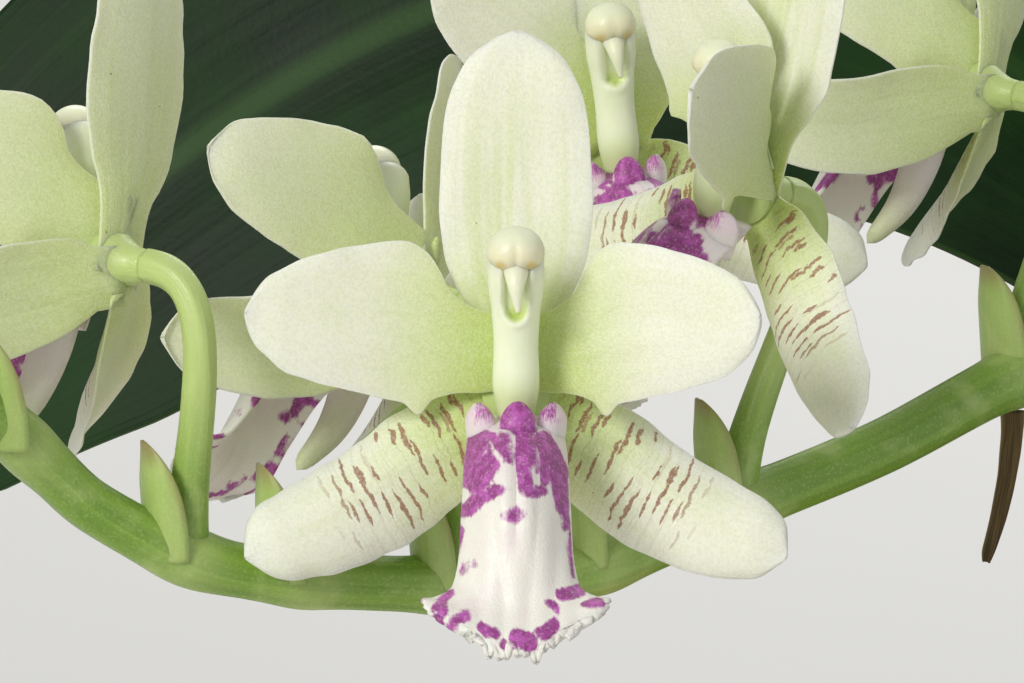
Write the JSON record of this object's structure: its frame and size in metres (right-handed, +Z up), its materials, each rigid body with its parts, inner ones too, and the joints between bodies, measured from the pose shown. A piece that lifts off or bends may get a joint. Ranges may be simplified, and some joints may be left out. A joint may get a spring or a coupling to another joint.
{
  "type": "potted phalaenopsis japonica",
  "caption": "Small moth-orchid plant in a plain clay pot: a fan of strap-shaped leaves, thick roots over bark, and an arching raceme of cream flowers with fringed, purple-marked lips.",
  "frame": {"origin": "centre of the pot's flat underside", "axes": "+Z up along the pot's axis; the raceme leaves the rosette towards -X and -Y, and the main flower faces -Y"},
  "size_m": [0.2184, 0.1676, 0.1574],
  "materials": {
    "terracotta": "unglazed, matt",
    "bark": "rough",
    "velamen": "matt, silvery",
    "leaf": "leathery, satin",
    "stalk": "waxy, satin",
    "dry_bract": "papery, matt",
    "bud": "waxy, satin",
    "tepal": "crystalline, satin",
    "column": "waxy, satin",
    "lip": "velvety white with purple marks"
  },
  "bodies": {
    "root": {"pot": "terracotta", "potting_medium": "bark", "stem_with_roots": "velamen", "leaf_1": "leaf", "leaf_2": "leaf", "leaf_3": "leaf", "leaf_4": "leaf", "leaf_5": "leaf", "leaf_6": "leaf", "leaf_7": "leaf", "flower_stalk": "stalk", "dry_bract": "dry_bract", "bud_1": "bud", "bud_2": "bud", "bud_3": "bud", "flower_1_perianth": "tepal", "flower_1_column": "column", "flower_1_lip": "lip", "flower_2_perianth": "tepal", "flower_2_column": "column", "flower_2_lip": "lip", "flower_3_perianth": "tepal", "flower_3_column": "column", "flower_3_lip": "lip", "flower_4_perianth": "tepal", "flower_4_column": "column", "flower_4_lip": "lip", "flower_5_perianth": "tepal", "flower_5_column": "column", "flower_5_lip": "lip", "flower_6_perianth": "tepal", "flower_6_column": "column", "flower_6_lip": "lip", "flower_7_perianth": "tepal", "flower_7_column": "column", "flower_7_lip": "lip"}
  },
  "joints": []
}
